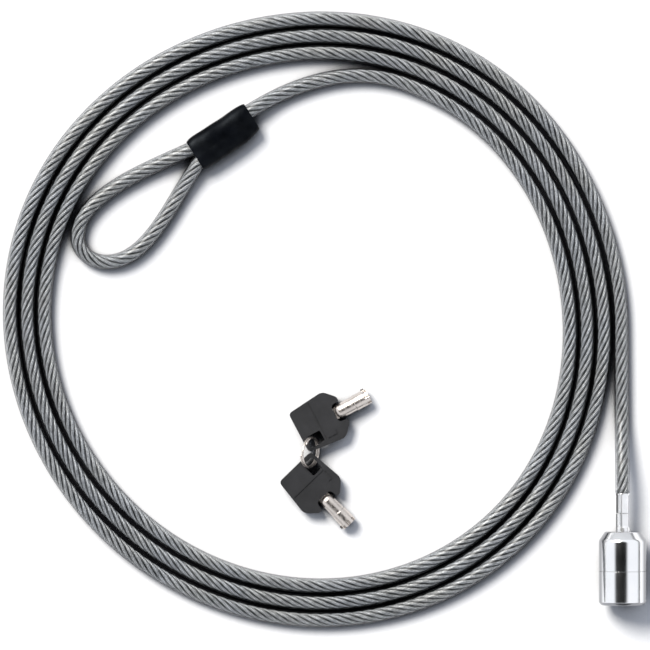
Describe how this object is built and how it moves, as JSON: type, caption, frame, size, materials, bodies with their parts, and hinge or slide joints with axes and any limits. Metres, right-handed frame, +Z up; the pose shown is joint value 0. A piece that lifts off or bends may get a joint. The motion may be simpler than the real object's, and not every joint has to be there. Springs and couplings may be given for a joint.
{
  "type": "laptop cable lock",
  "caption": "Coiled clear-jacketed wire rope with a sleeved eye at one end and a cylindrical barrel lock on a swivelling stud at the other, with tubular keys on a split ring.",
  "frame": {"origin": "on the table plane, under the middle of the whole lock", "axes": "+X towards the lock head's side, +Y from the lock head along its cable, +Z up from the table"},
  "size_m": [0.2024, 0.1938, 0.015],
  "materials": {
    "rope_steel": "bare galvanised steel wire, twisted",
    "clear_pvc": "clear glossy PVC",
    "chrome": "polished chrome plate",
    "swaged_steel": "pressed and plated steel",
    "aluminium": "pressed aluminium",
    "black_sleeve": "satin black shrunk plastic",
    "brass": "turned brass",
    "spring_steel": "bright spring steel",
    "hardened_steel": "hardened and ground steel",
    "black_plastic": "fine-textured black moulding",
    "nickel": "nickel-plated steel"
  },
  "bodies": {
    "cable_coil": {"wire_rope_coil": "rope_steel", "clear_jacket_coil": "clear_pvc"},
    "eye_lead": {"wire_rope_eye": "rope_steel", "clear_jacket_eye": "clear_pvc", "eye_ferrule": "aluminium", "eye_cover": "black_sleeve"},
    "lock_lead": {"wire_rope_lock_lead": "rope_steel", "clear_jacket_lock_lead": "clear_pvc", "crimp_sleeve": "swaged_steel"},
    "stud": {"swivel_stud": "swaged_steel"},
    "lock_head": {"lock_body": "chrome", "lock_collar": "chrome", "pin_bushing": "brass", "bushing_pin": "hardened_steel", "ball_cage": "hardened_steel", "pin_spring_1": "spring_steel", "pin_spring_2": "spring_steel", "pin_spring_3": "spring_steel", "pin_spring_4": "spring_steel", "pin_spring_5": "spring_steel", "pin_spring_6": "spring_steel", "pin_spring_7": "spring_steel"},
    "spindle": {"spindle": "brass", "spindle_clip": "spring_steel", "lock_cam": "hardened_steel"},
    "ball_a": {"lock_ball_a": "hardened_steel"},
    "ball_b": {"lock_ball_b": "hardened_steel"},
    "key_pin_1": {"key_pin_1": "brass"},
    "key_pin_2": {"key_pin_2": "brass"},
    "key_pin_3": {"key_pin_3": "brass"},
    "key_pin_4": {"key_pin_4": "brass"},
    "key_pin_5": {"key_pin_5": "brass"},
    "key_pin_6": {"key_pin_6": "brass"},
    "key_pin_7": {"key_pin_7": "brass"},
    "driver_pin_1": {"driver_pin_1": "spring_steel"},
    "driver_pin_2": {"driver_pin_2": "spring_steel"},
    "driver_pin_3": {"driver_pin_3": "spring_steel"},
    "driver_pin_4": {"driver_pin_4": "spring_steel"},
    "driver_pin_5": {"driver_pin_5": "spring_steel"},
    "driver_pin_6": {"driver_pin_6": "spring_steel"},
    "driver_pin_7": {"driver_pin_7": "spring_steel"},
    "key_ring": {"key_ring": "nickel"},
    "key_1": {"key_1_bow": "black_plastic", "key_1_barrel": "nickel"},
    "key_2": {"key_2_bow": "black_plastic", "key_2_barrel": "nickel"}
  },
  "joints": [
    {"name": "eye_lead_swing", "type": "hinge", "parent": "cable_coil", "child": "eye_lead", "pos_m": [0.01399, 0.07667, 0.0023], "axis": [0, 0, 1], "range_deg": [0, 22]},
    {"name": "lock_lead_swing", "type": "hinge", "parent": "cable_coil", "child": "lock_lead", "pos_m": [0.09365, -0.0255, 0.0023], "axis": [0, 0, 1], "range_deg": [-12, 28]},
    {"name": "stud_swivel", "type": "hinge", "parent": "lock_lead", "child": "stud", "pos_m": [0.09372, -0.05986, 0.0075], "axis": [0, 1, 0], "continuous": true},
    {"name": "head_release", "type": "slide", "parent": "stud", "child": "lock_head", "axis": [0, -1, 0], "range_m": [0, 0.012]},
    {"name": "spindle_turn", "type": "hinge", "parent": "lock_head", "child": "spindle", "pos_m": [0.09372, -0.08986, 0.0075], "axis": [0, -1, 0], "range_deg": [0, 90]},
    {"name": "ball_a_slide", "type": "slide", "parent": "lock_head", "child": "ball_a", "axis": [-1, 0, 0], "range_m": [0, 0.00055]},
    {"name": "ball_b_slide", "type": "slide", "parent": "lock_head", "child": "ball_b", "axis": [1, 0, 0], "range_m": [0, 0.00055]},
    {"name": "key_pin_1_press", "type": "slide", "parent": "spindle", "child": "key_pin_1", "axis": [0, 1, 0], "range_m": [0, 0.0005]},
    {"name": "key_pin_2_press", "type": "slide", "parent": "spindle", "child": "key_pin_2", "axis": [0, 1, 0], "range_m": [0, 0.0011]},
    {"name": "key_pin_3_press", "type": "slide", "parent": "spindle", "child": "key_pin_3", "axis": [0, 1, 0], "range_m": [0, 0.0008]},
    {"name": "key_pin_4_press", "type": "slide", "parent": "spindle", "child": "key_pin_4", "axis": [0, 1, 0], "range_m": [0, 0.0005]},
    {"name": "key_pin_5_press", "type": "slide", "parent": "spindle", "child": "key_pin_5", "axis": [0, 1, 0], "range_m": [0, 0.0008]},
    {"name": "key_pin_6_press", "type": "slide", "parent": "spindle", "child": "key_pin_6", "axis": [0, 1, 0], "range_m": [0, 0.0011]},
    {"name": "key_pin_7_press", "type": "slide", "parent": "spindle", "child": "key_pin_7", "axis": [0, 1, 0], "range_m": [0, 0.0005]},
    {"name": "driver_pin_1_press", "type": "slide", "parent": "lock_head", "child": "driver_pin_1", "axis": [0, 1, 0], "range_m": [0, 0.0005], "deforming": ["pin_spring_1"]},
    {"name": "driver_pin_2_press", "type": "slide", "parent": "lock_head", "child": "driver_pin_2", "axis": [0, 1, 0], "range_m": [0, 0.0011], "deforming": ["pin_spring_2"]},
    {"name": "driver_pin_3_press", "type": "slide", "parent": "lock_head", "child": "driver_pin_3", "axis": [0, 1, 0], "range_m": [0, 0.0008], "deforming": ["pin_spring_3"]},
    {"name": "driver_pin_4_press", "type": "slide", "parent": "lock_head", "child": "driver_pin_4", "axis": [0, 1, 0], "range_m": [0, 0.0005], "deforming": ["pin_spring_4"]},
    {"name": "driver_pin_5_press", "type": "slide", "parent": "lock_head", "child": "driver_pin_5", "axis": [0, 1, 0], "range_m": [0, 0.0008], "deforming": ["pin_spring_5"]},
    {"name": "driver_pin_6_press", "type": "slide", "parent": "lock_head", "child": "driver_pin_6", "axis": [0, 1, 0], "range_m": [0, 0.0011], "deforming": ["pin_spring_6"]},
    {"name": "driver_pin_7_press", "type": "slide", "parent": "lock_head", "child": "driver_pin_7", "axis": [0, 1, 0], "range_m": [0, 0.0005], "deforming": ["pin_spring_7"]},
    {"name": "keys_lift", "type": "slide", "parent": "cable_coil", "child": "key_ring", "axis": [0, 0, 1], "range_m": [0, 0.04]},
    {"name": "key_1_swing", "type": "hinge", "parent": "key_ring", "child": "key_1", "pos_m": [-0.00448, -0.0419, 0.00467], "axis": [-0.8613, 0.0905, -0.5], "range_deg": [0, 50]},
    {"name": "key_2_swing", "type": "hinge", "parent": "key_ring", "child": "key_2", "pos_m": [-0.00448, -0.0419, 0.00467], "axis": [0.8613, -0.0905, 0.5], "range_deg": [0, 50]}
  ],
  "couplings": [
    {"joint": "ball_a_slide", "follows": "spindle_turn", "m_per_rad": 0.00035},
    {"joint": "ball_b_slide", "follows": "spindle_turn", "m_per_rad": 0.00035},
    {"joint": "key_pin_1_press", "follows": "key_pin_2_press", "ratio": 0.45454},
    {"joint": "key_pin_3_press", "follows": "key_pin_2_press", "ratio": 0.72727},
    {"joint": "key_pin_4_press", "follows": "key_pin_2_press", "ratio": 0.45454},
    {"joint": "key_pin_5_press", "follows": "key_pin_2_press", "ratio": 0.72727},
    {"joint": "key_pin_6_press", "follows": "key_pin_2_press", "ratio": 1},
    {"joint": "key_pin_7_press", "follows": "key_pin_2_press", "ratio": 0.45454},
    {"joint": "driver_pin_1_press", "follows": "driver_pin_2_press", "ratio": 0.45454},
    {"joint": "driver_pin_3_press", "follows": "driver_pin_2_press", "ratio": 0.72727},
    {"joint": "driver_pin_4_press", "follows": "driver_pin_2_press", "ratio": 0.45454},
    {"joint": "driver_pin_5_press", "follows": "driver_pin_2_press", "ratio": 0.72727},
    {"joint": "driver_pin_6_press", "follows": "driver_pin_2_press", "ratio": 1},
    {"joint": "driver_pin_7_press", "follows": "driver_pin_2_press", "ratio": 0.45454}
  ]
}
